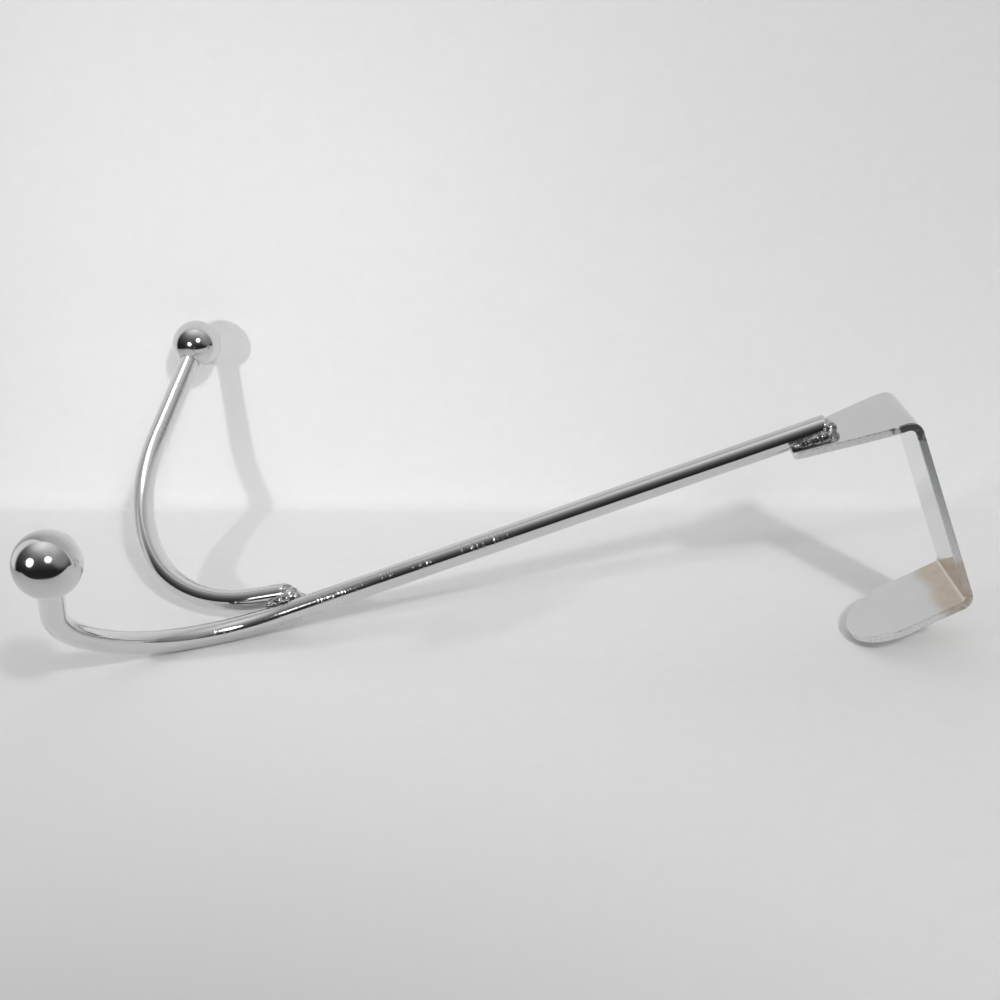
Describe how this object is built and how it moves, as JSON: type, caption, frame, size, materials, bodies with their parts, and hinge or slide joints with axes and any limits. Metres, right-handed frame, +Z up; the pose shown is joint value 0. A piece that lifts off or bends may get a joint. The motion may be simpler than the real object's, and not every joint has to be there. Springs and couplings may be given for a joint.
{
  "type": "over door hook",
  "caption": "Chrome-plated over-door hook: a folded strip that sits on a door's top edge carries a wire rod whose foot splits into splayed, upturned arms tipped with balls.",
  "frame": {"origin": "middle of the underside of the strip's top, where it sits on the top edge of a door", "axes": "+Z up along the rod; the hooks face -Y, away from the door, and the back leg is on +Y; X runs along the top edge of the door, with the arm that is one wire with the rod on +X and the welded arm on -X"},
  "size_m": [0.1488, 0.1011, 0.1692],
  "materials": {
    "strip": "bright plating, tarnished brown at the rear fold",
    "wire": "bright plating",
    "ball": "bright plating",
    "weld": "rough weld under plating"
  },
  "bodies": {
    "root": {"door_bracket": "strip", "main_rod": "wire", "welded_arm": "wire", "right_ball": "ball", "left_ball": "ball", "bracket_weld": "weld", "arm_weld": "weld"}
  },
  "joints": []
}
